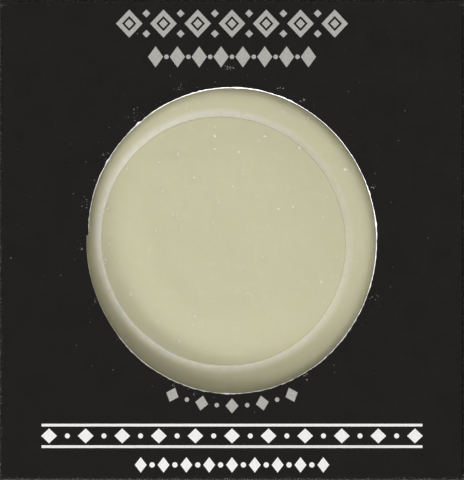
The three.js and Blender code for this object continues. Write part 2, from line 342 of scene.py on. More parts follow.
def make_raw_board():
    material, tree, bsdf, coords = new_material("raw_board")
    cloud = noise_of(tree, coords, 4.0, 4.0)
    fibre = noise_of(tree, stretched(tree, coords, (1.0, 4.0, 1.0)), 0.6, 4.0, 0.7)
    colour = mix_colour(tree, cloud, RAW_DARK, RAW_LIGHT)
    colour = mix_colour(tree, remap(tree, fibre, 0.45, 0.75), colour, RAW_FIBRE)
    flecks = specks(tree, stretched(tree, coords, (1.0, 0.4, 1.0)), 1.6, 0.12, 0.3)
    colour = mix_colour(tree, product(tree, flecks, 0.5), colour, RAW_FLECK)
    fill(tree, bsdf, {"Base Color": colour, "Roughness": 0.9, "Specular IOR Level": 0.25})
    add_bump(tree, bsdf, fibre, 0.02, 0.8)
    return material


def make_board_core():
    material, tree, bsdf, coords = new_material("board_core")
    plies = noise_of(tree, stretched(tree, coords, (1.0, 1.0, 5.0)), 0.25, 4.0, 0.7)
    colour = mix_colour(tree, remap(tree, plies, 0.4, 0.9), CORE_LIGHT, CORE_DARK)
    fill(tree, bsdf, {"Base Color": colour, "Roughness": 0.95, "Specular IOR Level": 0.2})
    add_bump(tree, bsdf, plies, 0.03, 0.9)
    return material


def make_soap():
    material, tree, bsdf, coords = new_material("soap")
    centred = vector_maths(tree, "SUBTRACT", coords, PUCK_CENTRE * MM).outputs["Vector"]
    oval = {"Vector": centred, "Rotation": (0, 0, LONG_AXIS)}
    oval["Scale"] = (1 + OUT_OF_ROUND, 1 - OUT_OF_ROUND, 1)
    round_again = add_node(tree, "ShaderNodeMapping", oval, vector_type="TEXTURE").outputs["Vector"]
    flat = vector_maths(tree, "MULTIPLY", round_again, (1, 1, 0)).outputs["Vector"]
    radius = vector_maths(tree, "LENGTH", flat).outputs["Value"]

    cloud = noise_of(tree, coords, 11.0, 4.0)
    mottle = noise_of(tree, coords, 1.6, 4.0, 0.6)
    colour = mix_colour(tree, cloud, SOAP_WARM, SOAP_COOL)
    colour = mix_colour(tree, remap(tree, mottle, 0.50, 0.80, 0.0, 0.35), colour, SOAP_PALE)
    # A paler, whiter band along the ridge crest, on every side of the puck.
    crest_band_in = remap(tree, radius, *(reach * MM for reach in CREST_BAND_RISE))
    crest_band_out = remap(tree, radius, *(reach * MM for reach in CREST_BAND_FALL), 1.0, 0.0)
    patchy = remap(tree, noise_of(tree, coords, 1.1, 4.0, 0.65), 0.2, 0.6, 0.45, 1.0)
    # Painted shade: the pale crest band fades to half towards SLUMP_SIDE, the side turned away from the
    # lights.
    painted_shade_way = (math.cos(SLUMP_SIDE), math.sin(SLUMP_SIDE), 0)
    lean = vector_maths(tree, "DOT_PRODUCT", flat, painted_shade_way).outputs["Value"]
    crest_painted_shade = remap(tree, lean, 0.0, CREST_RADIUS * MM, 1.0, 0.5)
    crest_band = product(tree, product(tree, crest_band_in, crest_band_out), patchy)
    crest_band = product(tree, crest_band, crest_painted_shade)
    colour = mix_colour(tree, product(tree, crest_band, CREST_BAND_STRENGTH), colour, SOAP_PALE_CREST)
    big = specks(tree, coords, 3.6, 0.34, 0.30)
    small = specks(tree, stretched(tree, coords, (1.0, 1.1, 1.0)), 1.5, 0.10, 0.20)
    big, small = product(tree, big, 0.22), product(tree, small, 0.20)
    colour = mix_colour(tree, maths(tree, "MAXIMUM", big, small), colour, SOAP_FLECK)
    shine = remap(tree, mottle, 0.3, 0.7, 0.48, 0.62)
    fill(tree, bsdf, {"Base Color": colour, "Roughness": shine, "Specular IOR Level": 0.4})
    depth = {"Subsurface Radius": (1.0, 0.9, 0.55), "Subsurface Scale": 2.6 * MM}
    fill(tree, bsdf, {"Subsurface Weight": 1.0, **depth})
    skin = noise_of(tree, coords, 0.5, 4.0, 0.65)
    add_bump(tree, bsdf, skin, 0.03, 0.5)
    return material


def make_dust(name, dark, light):
    material, tree, bsdf, coords = new_material(name)
    lumps = noise_of(tree, coords, 0.12, 3.0)
    fill(tree, bsdf, {"Base Color": mix_colour(tree, lumps, dark, light), "Roughness": 0.95})
    add_bump(tree, bsdf, lumps, 0.02, 0.8)
    return material


def make_glue():
    material, tree, bsdf, coords = new_material("dried_glue")
    lumps = noise_of(tree, coords, 1.2, 3.0)
    fill(tree, bsdf, {"Base Color": mix_colour(tree, lumps, GLUE_DARK, GLUE_LIGHT), "Roughness": 0.35})
    add_bump(tree, bsdf, lumps, 0.05, 0.8)
    return material


def make_floor_material():
    material, tree, bsdf, coords = new_material("pale_floor")
    cloud = noise_of(tree, coords, 60.0, 4.0)
    fill(tree, bsdf, {"Base Color": mix_colour(tree, cloud, FLOOR_DARK, FLOOR_LIGHT), "Roughness": 0.8})
    return material


# ---------------------------------------------------------------- mesh building
# A board's material slots. Pieces without print have only the first three.
OUTSIDE, INSIDE, CUT, SILVER, WHITE = range(5)


def finish_mesh(name, vertices, faces, face_slots, materials):
    """Makes an object from vertices in millimetres. Its faces point out, and its edges are sharp at
    corners and where the material changes."""
    mesh = bpy.data.meshes.new(name)
    mesh.from_pydata([Vector(vertex) * MM for vertex in vertices], [], faces)
    for material in materials:
        mesh.materials.append(material)
    for polygon, slot in zip(mesh.polygons, face_slots):
        polygon.material_index = slot
    edit = bmesh.new()
    edit.from_mesh(mesh)
    bmesh.ops.recalc_face_normals(edit, faces=edit.faces)
    for face in edit.faces:
        face.smooth = True
    for edge in edit.edges:
        corner = len(edge.link_faces) == 2 and edge.calc_face_angle(0.0) > SHARP_ANGLE
        border = len({face.material_index for face in edge.link_faces}) > 1
        edge.smooth = not (corner or border)
    edit.to_mesh(mesh)
    edit.free()
    piece = bpy.data.objects.new(name, mesh)
    bpy.context.scene.collection.objects.link(piece)
    return piece


def spaced(low, high, spacing):
    count = max(1, round((high - low) / spacing))
    return [low + (high - low) * i / count for i in range(count + 1)]


def inset(loop, amounts):
    """loop moved into the sheet on its left, each edge by its own amount."""
    moved = []
    for i, point in enumerate(loop):
        before = point - loop[i - 1]
        after = loop[(i + 1) % len(loop)] - point
        left_before = 1j * before / abs(before)
        left_after = 1j * after / abs(after)
        a, b = amounts[i - 1], amounts[i]
        cross = left_before.real * left_after.imag - left_before.imag * left_after.real
        if abs(cross) < 0.05:
            middle = left_before + left_after
            moved.append(point + middle / abs(middle) * (a + b) / 2)
            continue
        step_x = (a * left_after.imag - b * left_before.imag) / cross
        step_y = (b * left_before.real - a * left_after.real) / cross
        moved.append(point + complex(step_x, step_y))
    return moved


def spread(loop, amounts):
    """loop moved straight out from its middle, each point by its own amount."""
    middle = sum(loop) / len(loop)
    rays = [(point - middle) / abs(point - middle) for point in loop]
    return [point + amount * ray for point, amount, ray in zip(loop, amounts, rays)]


def clear_of(point, loop, inside, margin=0.5):
    """Whether the point lies inside (or outside) the loop, and further than margin from it."""
    crossings = 0
    for a, b in zip(loop, loop[1:] + loop[:1]):
        if (a.imag > point.imag) != (b.imag > point.imag):
            reach = a.real + (point.imag - a.imag) * (b.real - a.real) / (b.imag - a.imag)
            crossings += reach > point.real
        along = min(1.0, max(0.0, ((point - a) * (b - a).conjugate()).real / abs(b - a) ** 2))
        if abs(point - a - along * (b - a)) < margin:
            return False
    return (crossings % 2 == 1) == inside


def triangulate(loops, extra):
    """Triangles of the plane that keep every loop's edges. Returns the points, the triangles, the
    number of the last loop round each triangle, and each loop's own points."""
    points, faces = [], []
    for loop in loops:
        faces.append(list(range(len(points), len(points) + len(loop))))
        points += loop
    points = points + extra
    flat = [Vector((point.real, point.imag)) for point in points]
    found = geometry.delaunay_2d_cdt(flat, [], faces, 1, 1e-5)
    new_points, _, triangles, old_points, _, old_faces = found
    place = {}
    for new, olds in enumerate(old_points):
        for old in olds:
            place[old] = new
    rings = [[place[i] for i in face] for face in faces]
    within = [max(owners) for owners in old_faces]
    return [complex(p.x, p.y) for p in new_points], triangles, within, rings


def flat_board(name, materials, place, outline, joined=(), hole=None, decor=(), bow=0.0, seed=0.0):
    """A flat stretch of board. outline runs anticlockwise and its edges in joined run on into a
    crease, so they have no bevel. hole is (clockwise loop, rim widths, crushed depth). decor is a
    list of (loop, material slot). The outer face is on the +w side of place. bow lifts the middle."""
    left, right = min(p.real for p in outline), max(p.real for p in outline)
    low, high = min(p.imag for p in outline), max(p.imag for p in outline)

    def lift(point):
        across = math.sin(math.pi * (point.real - left) / (right - left))
        along = math.sin(math.pi * (point.imag - low) / (high - low))
        ripple = noise.noise(Vector((point.real / 9, point.imag / 9, seed)))
        return max(0.0, across * along) ** 0.6 * (bow + 0.3 * abs(bow) * ripple)

    grid = [
        complex(u, v)
        for u in spaced(left, right, SHEET_SPACING)[1:-1]
        for v in spaced(low, high, SHEET_SPACING)[1:-1]
        if clear_of(complex(u, v), outline, True)
        and (not hole or clear_of(complex(u, v), hole[0], False))
    ]
    bevels = [0.0 if i in joined else CUT_BEVEL for i in range(len(outline))]
    rims = [(outline, bevels, CUT_BEVEL)]
    if hole:
        rims.append(hole)
    vertices, faces, slots = [], [], []
    rings = {}
    for side in (1, -1):
        loops = []
        for loop, widths, _ in rims:
            if loop is outline:
                loops.append(inset(loop, widths))
            else:
                shown = widths if side > 0 else [min(width, CUT_BEVEL) for width in widths]
                loops.append(spread(loop, shown)[::-1])
        drawn = [loop for loop, _ in decor] if side > 0 else []
        points, triangles, within, found = triangulate(loops + drawn, grid)
        start = len(vertices)
        vertices += [(p.real, p.imag, side * HALF_BOARD + lift(p)) for p in points]
        plain = [OUTSIDE if side > 0 else INSIDE] * len(loops)
        slot_of_loop = plain + [slot for _, slot in decor]
        for triangle, owner in zip(triangles, within):
            if hole and owner == 1:
                continue
            faces.append([start + i for i in triangle])
            slots.append(slot_of_loop[owner])
        ring = [[start + i for i in found[0]]]
        if hole:
            ring.append([start + i for i in found[1]][::-1])
        rings[side] = ring
    for number, (loop, _, crush) in enumerate(rims):
        count = len(loop)
        rows = [rings[1][number]]
        for depth in (HALF_BOARD - crush, -HALF_BOARD + CUT_BEVEL):
            start = len(vertices)
            vertices += [(p.real, p.imag, depth + lift(p)) for p in loop]
            rows.append(list(range(start, start + count)))
        rows.append(rings[-1][number])
        for upper, lower in zip(rows, rows[1:]):
            for i in range(count):
                j = (i + 1) % count
                faces.append([upper[i], upper[j], lower[j], lower[i]])
                slots.append(CUT)
    world = [place @ Vector(vertex) for vertex in vertices]
    return finish_mesh(name, world, faces, slots, materials)


def bent_rows(path, radius):
    """(point, outward normal) along the middle of a sheet that turns left at each inner point."""
    rows = []
    for i, point in enumerate(path):
        if i == 0 or i == len(path) - 1:
            along = path[1] - path[0] if i == 0 else path[-1] - path[-2]
            rows.append((point, -1j * along / abs(along)))
            continue
        before = (point - path[i - 1]) / abs(point - path[i - 1])
        after = (path[i + 1] - point) / abs(path[i + 1] - point)
        turn = cmath.phase(after / before)
        centre = point - before * radius * math.tan(turn / 2) + 1j * before * radius
        for k in range(CREASE_STEPS + 1):
            normal = -1j * before * cmath.exp(1j * turn * k / CREASE_STEPS)
            rows.append((centre + radius * normal, normal))
    return rows


def bent_board(name, materials, place, rows, low, high, trim=None):
    """A strip of board that runs along w from low to high, with a bent section in the u-v plane.
    trim gives a row its own shorter high end, and low end by symmetry."""
    vertices, faces, slots = [], [], []
    stations = spaced(low + CUT_BEVEL, high - CUT_BEVEL, STRIP_SPACING)
    layers = [(low, HALF_BOARD - CUT_BEVEL)]
    layers += [(w, HALF_BOARD) for w in stations]
    layers += [(high, HALF_BOARD - CUT_BEVEL)]
    columns = len(rows)
    for w, half in layers:
        for side in (1, -1):
            for point, normal in rows:
                p = point + side * half * normal
                end = trim(point) if trim else high
                vertices.append((p.real, p.imag, max(low + high - end, min(end, w))))
    step = 2 * columns
    for layer in range(len(layers) - 1):
        for slot in (OUTSIDE, INSIDE):
            for k in range(columns - 1):
                a = layer * step + slot * columns + k
                faces.append([a, a + 1, a + 1 + step, a + step])
                slots.append(slot)
        for k in (0, columns - 1):
            a = layer * step + k
            faces.append([a, a + columns, a + columns + step, a + step])
            slots.append(CUT)
    for layer in (0, len(layers) - 1):
        for k in range(columns - 1):
            a = layer * step + k
            faces.append([a, a + 1, a + columns + 1, a + columns])
            slots.append(CUT)
    world = [place @ Vector(vertex) for vertex in vertices]
    return finish_mesh(name, world, faces, slots, materials)


def placed(origin, u, v, w):
    """The matrix that takes (u, v, w) in millimetres to the row frame."""
    matrix = Matrix((u, v, w)).transposed().to_4x4()
    matrix.translation = Vector(origin)
    return matrix


def rectangle(left, bottom, right, top):
    return [complex(left, bottom), complex(right, bottom), complex(right, top), complex(left, top)]


def rounded(path, corners, radius):
    """path with the numbered corners rounded."""
    smooth = []
    for i, point in enumerate(path):
        if i not in corners:
            smooth.append(point)
            continue
        before = point - path[i - 1]
        after = path[(i + 1) % len(path)] - point
        before, after = before / abs(before), after / abs(after)
        turn = cmath.phase(after / before)
        centre = point - before * radius * math.tan(turn / 2) + 1j * before * radius
        for k in range(CORNER_STEPS + 1):
            smooth.append(centre - 1j * before * radius * cmath.exp(1j * turn * k / CORNER_STEPS))
    return smooth


# ---------------------------------------------------------------- ornament on the front
# Bands of lozenges, rules and dots, in silver and white. They hold the places of the carton's
# printed lines, and nothing in them is lettering.
def lozenge(centre, width, height, turn=0.0):
    spin = cmath.exp(1j * turn)
    return [centre + spin * p for p in (-width / 2 + 0j, -1j * height / 2, width / 2 + 0j, 1j * height / 2)]


def dot(centre, radius, points=14):
    return [centre + radius * cmath.exp(2j * math.pi * k / points) for k in range(points)]


def bar(left, right, y, thickness):
    return rectangle(left, y - thickness / 2, right, y + thickness / 2)


def evenly(half_span, count):
    return [-half_span + 2 * half_span * i / (count - 1) for i in range(count)]


def crown_band(y, half_span, width, height):
    """Open lozenges with a solid heart, and a small lozenge between each two."""
    shapes = []
    centres = evenly(half_span - width / 2, 7)
    for x in centres:
        middle = complex(x, y)
        shapes.append((lozenge(middle, width, height), SILVER))
        shapes.append((lozenge(middle, width * 0.54, height * 0.54), OUTSIDE))
        shapes.append((lozenge(middle, width * 0.34, height * 0.34), SILVER))
    for left, right in zip(centres, centres[1:]):
        middle = complex((left + right) / 2, y)
        for lift in (-0.36, 0.36):
            shapes.append((lozenge(middle + 1j * lift * height, width * 0.30, height * 0.28), SILVER))
    return shapes


def bead_band(y, half_span, height):
    """Solid lozenges with dots between them."""
    centres = evenly(half_span - height * 0.36, 8)
    between = [(left + right) / 2 for left, right in zip(centres, centres[1:])]
    shapes = [(lozenge(complex(x, y), height * 0.72, height), SILVER) for x in centres]
    return shapes + [(dot(complex(x, y), height * 0.11), SILVER) for x in between]


def in_turn(middles, width, height, radius, slot, turns=None):
    """A lozenge, a dot, a lozenge and so on. turns gives the lozenges' own angles."""
    shapes = []
    for middle, angle, k in zip(middles, turns or [0.0] * len(middles), range(len(middles))):
        shape = dot(middle, radius) if k % 2 else lozenge(middle, width, height, angle)
        shapes.append((shape, slot))
    return shapes


def arc_band(radius, half_angle, height):
    """Lozenges and dots on an arc under the window."""
    angles = evenly(half_angle, 9)
    middles = [WINDOW_CENTRE - 1j * radius * cmath.exp(1j * angle) for angle in angles]
    return in_turn(middles, height * 0.86, height, height * 0.15, SILVER, angles)


def ribbon_band(y, half_span, height):
    """Two rules with a row of lozenges and dots between them."""
    rule, inner = height * 0.11, height * 0.62
    offset = (height - rule) / 2
    rules = [(bar(-half_span, half_span, level, rule), WHITE) for level in (y + offset, y - offset)]
    middles = [complex(x, y) for x in evenly(half_span - inner / 2, 21)]
    return rules + in_turn(middles, inner * 1.05, inner, inner * 0.17, WHITE)


def dotted_band(y, half_span, height):
    middles = [complex(x, y) for x in evenly(half_span - height / 4, 17)]
    return in_turn(middles, height * 0.62, height * 0.80, height * 0.14, WHITE)


def front_ornament():
    return [
        *crown_band(35.8, 19.2, 4.4, 4.65),
        *bead_band(30.3, 13.9, 3.5),
        *arc_band(27.5, math.radians(21), 2.5),
        *ribbon_band(-32.4, 31.5, 4.0),
        *dotted_band(-37.2, 15.9, 3.2),
    ]


# ---------------------------------------------------------------- window
WINDOW_STEPS = 520
# Unevenness of the cut: (size, waves, seed).
WOBBLES = [(0.06, 3.1, 4.0), (0.035, 17, 9.0), (0.02, 48, 7.0)]
WINDOW_CRUSH = 0.16
CORE_SHOWN = 0.115
NICK_ANGLES = [math.radians(a) for a in (6, 88, 129, 148, 268)]
NICK_SPREAD = math.radians(0.85)
WINDOW_INSET = 0.06
TOP_INSET = 0.38
TOP_POWER = 1.2
TOP_SIDE = math.radians(70)
RULE_JOINT = math.radians(178)
RULE_STEP = 0.36
RULE_REACH = 0.13
NICK_DEPTH = 0.07
NICK_CORE = 0.16
# Spans of the cut where less of the white core shows: (middle, half span, share hidden).
CLEAN_SPANS = [
    (math.radians(198), math.radians(19), 0.85),
    (math.radians(44), math.radians(18), 0.60),
]


def angle_between(a, b):
    return abs((a - b + math.pi) % (2 * math.pi) - math.pi)


def nick_at(angle, nick):
    """1 at the nick, falling to 0 a little way along the cut."""
    return math.exp(-((angle_between(angle, nick) / NICK_SPREAD) ** 2))


def window_ellipse(ray):
    """The CAD's window edge in the direction of ray, without the looks' trim and wobble."""
    return WINDOW_CENTRE + complex(WINDOW_HALF_WIDTH * ray.real, WINDOW_HALF_HEIGHT * ray.imag)


def window_loop():
    """The die-cut edge, clockwise: inside the CAD's ellipse, most at the top, with a small wobble,
    the step where the cutting rule's ends meet, and a stub of fibres at each nick."""
    loop = []
    for k in range(WINDOW_STEPS):
        angle = -2 * math.pi * k / WINDOW_STEPS
        ray = cmath.exp(1j * angle)
        wobble = sum(
            size * noise.noise(Vector((waves * ray.real, waves * ray.imag, seed)))
            for size, waves, seed in WOBBLES
        )
        wobble -= WINDOW_INSET + TOP_INSET * (0.5 + 0.5 * math.cos(angle - TOP_SIDE)) ** TOP_POWER
        before_joint = (RULE_JOINT - angle) % (2 * math.pi)
        wobble -= RULE_STEP * math.exp(-before_joint / RULE_REACH)
        wobble -= NICK_DEPTH * sum(nick_at(angle, nick) for nick in NICK_ANGLES)
        loop.append(window_ellipse(ray) + wobble * ray)
    return loop


def window_rim_widths(loop):
    """How far the white core shows at each edge of the loop: least on the clean spans, most at nicks."""
    widths = []
    for point in loop:
        ray = point - WINDOW_CENTRE
        angle = cmath.phase(ray)
        width = CORE_SHOWN
        width += 0.05 * noise.noise(Vector((0.25 * ray.real, 0.25 * ray.imag, 2.0)))
        width += 0.09 * noise.noise(Vector((1.6 * ray.real, 1.6 * ray.imag, 6.0)))
        for middle, half_span, hidden in CLEAN_SPANS:
            inside = min(1.0, max(0.0, 1.25 - angle_between(angle, middle) / half_span) * 4)
            width *= 1 - hidden * inside
        width += NICK_CORE * sum(nick_at(angle, nick) for nick in NICK_ANGLES)
        widths.append(max(0.03, width))
    return widths


# ---------------------------------------------------------------- carton
X, Y, Z = Vector((1, 0, 0)), Vector((0, 1, 0)), Vector((0, 0, 1))
HALF_TURN = Matrix.Rotation(math.pi, 4, "Z")


def stand_for(piece, node, body):
    """Puts the piece in the place of a CAD node."""
    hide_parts(node)
    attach(piece, body)


def make_fixed_panels(board):
    side_edge = HALF_WIDTH - HALF_BOARD - FOLD_RADIUS - CREASE_FLAT
    crease_edge = CLOSURE_CREASE.y - CREASE_REACH

    loop = window_loop()
    front = flat_board(
        "front_board",
        board,
        placed((0, 0, DEPTH - HALF_BOARD), X, Y, Z),
        rectangle(-side_edge, -crease_edge, side_edge, crease_edge),
        joined=(0, 1, 2, 3),
        hole=(loop, window_rim_widths(loop), WINDOW_CRUSH),
        decor=front_ornament(),
        bow=FRONT_BOW,
    )
    stand_for(front, "front_panel", "carton")

    back = flat_board(
        "back_board",
        board,
        placed((0, 0, HALF_BOARD), X, -Y, -Z),
        rectangle(BACK_LEFT, -BACK_END, side_edge, BACK_END),
        joined=(1,),
        seed=5.0,
    )
    stand_for(back, "back_panel", "carton")

    flap_level = GLUE_LOW.z + HALF_BOARD
    flap = flat_board(
        "glue_flap_board",
        [board[INSIDE], board[INSIDE], board[CUT]],
        placed((0, 0, flap_level), X, -Y, -Z),
        [
            complex(-side_edge, GLUE_LOW.y),
            complex(GLUE_HIGH.x, GLUE_LOW.y + GLUE_FLAP_TAPER),
            complex(GLUE_HIGH.x, GLUE_HIGH.y - GLUE_FLAP_TAPER),
            complex(-side_edge, GLUE_HIGH.y),
        ],
        joined=(3,),
        seed=8.0,
    )
    stand_for(flap, "glue_flap", "carton")

    wall = HALF_WIDTH - HALF_BOARD
    front_level = DEPTH - HALF_BOARD
    crease_end = DUST_CREASE.y - CREASE_REACH
    front_end = crease_edge - FRONT_FOLD_GAP

    def wall_end(point):
        """How far the side panel reaches along the carton at a point of its cross section."""
        if point.imag > front_level - FOLD_RADIUS - BOARD:
            return front_end
        covered = DUST_LOW.z - STEP_AT < point.imag < DUST_HIGH.z + STEP_AT
        return crease_end if covered else SIDE_END

    def with_steps(rows):
        """Adds rows where the dust flap's crease starts and ends, so that the wall steps there."""
        levels = [DUST_LOW.z - STEP_OUTER, DUST_LOW.z - STEP_INNER]
        levels += [DUST_HIGH.z + STEP_OUTER, DUST_HIGH.z + STEP_INNER]
        full = []
        for (point, normal), (after, _) in zip(rows, rows[1:]):
            full.append((point, normal))
            if abs(after - point) > FOLD_RADIUS + STRIP_SPACING:
                nearest_first = sorted(levels, key=lambda level: abs(level - point.imag))
                full += [(complex(point.real, level), normal) for level in nearest_first]
        return full + [rows[-1]]

    def make_side(name, node, path):
        rows = with_steps(bent_rows([complex(*corner) for corner in path], FOLD_RADIUS))
        place = placed((0, 0, 0), X, Z, -Y)
        side = bent_board(name, board, place, rows, -front_end, front_end, wall_end)
        stand_for(side, node, "carton")

    path = [(side_edge, HALF_BOARD), (wall, HALF_BOARD), (wall, front_level), (side_edge, front_level)]
    make_side("right_side_board", "right_side_panel", path)
    path = [(-side_edge, front_level), (-wall, front_level), (-wall, flap_level), (-side_edge, flap_level)]
    make_side("left_side_board", "left_side_panel", path)


def crease_strip(name, board, place, path, span):
    """The board round a crease that folds, built fixed in its rest shape: it lies along one body's board,
    turns, then lies along the other's. path runs from the first body's board, through the crease, to the
    second's."""
    rows = bent_rows(path, CREASE_RADIUS)
    strip = bent_board(name, board, place, rows, *span)
    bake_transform(strip)


def make_closure_and_tuck(board, end_name, end_turn):
    closure_body, tuck_body = f"{end_name}_closure", f"{end_name}_tuck"
    length = CLOSURE_CREASE.z - TUCK_CREASE.z
    closure = flat_board(
        f"{end_name}_closure_board",
        board,
        end_turn @ placed(CLOSURE_CREASE, X, -Z, Y),
        rectangle(-CLOSURE_HALF_WIDTH, CREASE_REACH, CLOSURE_HALF_WIDTH, length - CREASE_REACH),
        joined=(0, 2),
        seed=11.0,
    )
    stand_for(closure, f"{end_name}_closure_panel", closure_body)

    inward = Vector((0, -math.cos(TUCK_TILT), math.sin(TUCK_TILT)))
    outline = rectangle(-TUCK_HALF_WIDTH, CREASE_REACH, TUCK_HALF_WIDTH, TUCK_LENGTH)
    tuck = flat_board(
        f"{end_name}_tuck_board",
        board,
        end_turn @ placed(TUCK_CREASE, X, inward, X.cross(inward)),
        rounded(outline, (2, 3), TUCK_CORNER),
        joined=(0,),
        seed=13.0,
    )
    stand_for(tuck, f"{end_name}_tuck_flap", tuck_body)

    place = end_turn @ placed((0, 0, 0), Y, Z, X)
    hinge = complex(CLOSURE_CREASE.y, CLOSURE_CREASE.z)
    path = [hinge - 1j * CREASE_REACH, hinge, hinge - CREASE_REACH]
    span = (-CLOSURE_HALF_WIDTH, CLOSURE_HALF_WIDTH)
    crease_strip(f"{end_name}_closure_crease", board, place, path, span)
    hinge = complex(TUCK_CREASE.y, TUCK_CREASE.z)
    path = [hinge + CREASE_REACH * complex(inward.y, inward.z), hinge, hinge + 1j * CREASE_REACH]
    span = (-TUCK_HALF_WIDTH, TUCK_HALF_WIDTH)
    crease_strip(f"{end_name}_tuck_crease", board, place, path, span)


def make_dust_flap(board, end_name, end_turn, side_name, side):
    """side is -1 at the left of the drawn end and 1 at its right."""
    body = f"{end_name}_{side_name}_dust"
    low, high = DUST_LOW.z, DUST_HIGH.z
    length = DUST_CREASE.x - DUST_LOW.x
    shape = [
        complex(low, CREASE_REACH),
        complex(high, CREASE_REACH),
        complex(high - length * math.tan(DUST_FRONT_TAPER), length),
        complex(low + length * math.tan(DUST_BACK_TAPER), length),
    ]
    hinge = complex(side * DUST_CREASE.x, DUST_CREASE.y)
    path = [hinge - side * CREASE_REACH, hinge, hinge - 1j * CREASE_REACH]
    tips, bodies = (2, 3), (body, "carton")
    if side > 0:
        shape = [complex(-point.real, point.imag) for point in shape][::-1]
        path, tips, bodies = path[::-1], (0, 1), bodies[::-1]
    shape = rounded(shape, tips, DUST_CORNER)
    turned = shape[1:] + shape[:1]
    heights = [abs(a.imag - CREASE_REACH) + abs(b.imag - CREASE_REACH) for a, b in zip(shape, turned)]
    dust = flat_board(
        f"{body}_board",
        board,
        end_turn @ placed((side * DUST_CREASE.x, DUST_CREASE.y, 0), -side * Z, -side * X, Y),
        shape,
        joined=(heights.index(min(heights)),),
        seed=17.0 + side,
    )
    stand_for(dust, f"{body}_flap", body)
    crease_strip(f"{body}_crease", board, end_turn @ placed((0, 0, 0), X, Y, Z), path, (low, high))


def make_end(board, end_name, end_turn, side_names):
    """One end of the carton, drawn at the top and turned to its place by end_turn."""
    make_closure_and_tuck(board, end_name, end_turn)
    for side, side_name in zip((-1, 1), side_names):
        make_dust_flap(board, end_name, end_turn, side_name, side)


# ---------------------------------------------------------------- soap
# Both faces of the puck are alike: a face that rolls down into a groove, a raised ridge round it,
# and a full shoulder that turns down to the rim, where the two dies met. The puck is slightly oval,
# and towards SLUMP_SIDE its face, ridge and shoulder have slumped.
FACE_FLAT_RADIUS = 11.5
FACE_ROLL_DROP = 0.28
FACE_ROLL_POWER = 2.0
GROOVE_RADIUS = 20.35
GROOVE_STEP = 0.08
CREST_RADIUS = 20.65
RIDGE_DROP = 0.4
SLUMP_FACE_DROP = 0.68
CREST_FOLLOWS = 0.66
SLUMP_SHOULDER_DROP = 28.0  # before the two powers below, which leave 9 % of it at the most
SLUMP_SHOULDER_POWERS = (1.5, 2)
SLUMP_POWER = 1.5
SLUMP_SIDE = math.radians(237)
BEAD_HEIGHT = 0.07
BEAD_REACH = 0.75
OUT_OF_ROUND = 0.017
LONG_AXIS = math.radians(118)
SHOULDER_POWER = 2.4
SHOULDER_FULLNESS = 1.25
RIM_HALF_BAND = 0.8
FLASH_HEIGHT = 0.04
# The paler band along the ridge crest: where it rises and falls, in millimetres from the middle, and how
# strong it is.
CREST_BAND_RISE = (20.3, 20.54)
CREST_BAND_FALL = (20.7, 22.1)
CREST_BAND_STRENGTH = 0.78
SOAP_WARM = (0.590, 0.569, 0.380, 1)
SOAP_COOL = (0.562, 0.560, 0.392, 1)
SOAP_PALE = (0.66, 0.645, 0.47, 1)
SOAP_PALE_CREST = (0.78, 0.775, 0.70, 1)
SOAP_FLECK = (0.80, 0.79, 0.62, 1)
# Rings of the mesh: how far apart on the flat, the roll and the ridge, and how many on the shoulder.
FLAT_SPACING, ROLL_SPACING, RIDGE_SPACING, SHOULDER_RINGS = 1.0, 0.35, 0.06, 46
PUCK_SPOKES = 288
# The rim's band: (height, share of the flash).
RIM_BAND = ((0.45, 0.0), (0.14, 0.15), (0.05, 1.0), (-0.05, 1.0), (-0.14, 0.15), (-0.45, 0.0))
# Unevenness of the skin: (height, size, place in the noise).
SKIN_LAYERS = [
    (0.045, 8.0, Vector((0, 0, 0))),
    (0.020, 2.2, Vector((5, 1, 3))),
    (0.006, 0.7, Vector((2, 8, 4))),
]
SKIN_LOST_AT_RIM = 0.85


def puck_height(radius, angle):
    """Height of the stamped surface above the puck's middle plane. One side has slumped."""
    slump = (0.5 + 0.5 * math.cos(angle - SLUMP_SIDE)) ** SLUMP_POWER
    face_drop = FACE_ROLL_DROP + SLUMP_FACE_DROP * slump
    if radius <= GROOVE_RADIUS:
        rolled = max(0.0, radius - FACE_FLAT_RADIUS) / (GROOVE_RADIUS - FACE_FLAT_RADIUS)
        return PUCK_HALF - face_drop * rolled**FACE_ROLL_POWER
    if radius <= CREST_RADIUS:
        along = (radius - GROOVE_RADIUS) / (CREST_RADIUS - GROOVE_RADIUS)
        crest_depth = RIDGE_DROP + CREST_FOLLOWS * SLUMP_FACE_DROP * slump
        depth = max(crest_depth, face_drop + GROOVE_STEP)
        rise = (depth - crest_depth) * (0.5 - 0.5 * math.cos(math.pi * along))
        return PUCK_HALF - depth + rise
    crest = PUCK_HALF - RIDGE_DROP - CREST_FOLLOWS * SLUMP_FACE_DROP * slump
    along = min(1.0, (radius - CREST_RADIUS) / (PUCK_RADIUS - CREST_RADIUS))
    fall = 1 - max(0.0, 1 - along**SHOULDER_POWER) ** (1 / SHOULDER_FULLNESS)
    bead = BEAD_HEIGHT * max(0.0, 1 - (radius - CREST_RADIUS) / BEAD_REACH) ** 2
    rise, fade = SLUMP_SHOULDER_POWERS
    fallen = SLUMP_SHOULDER_DROP * slump * along**rise * (1 - along) ** fade
    return crest + bead - BEAD_HEIGHT - (crest - BEAD_HEIGHT - RIM_HALF_BAND) * fall - fallen


def puck_radii():
    groove, shoulder = GROOVE_RADIUS - 0.5, CREST_RADIUS + 0.8
    radii = spaced(0.0, FACE_FLAT_RADIUS, FLAT_SPACING)[1:]
    radii += spaced(FACE_FLAT_RADIUS, groove, ROLL_SPACING)[1:]
    radii += spaced(groove, shoulder, RIDGE_SPACING)[1:]
    for i in range(1, SHOULDER_RINGS + 1):
        radii.append(shoulder + (PUCK_RADIUS - shoulder) * math.sin(math.pi / 2 * i / SHOULDER_RINGS))
    return radii


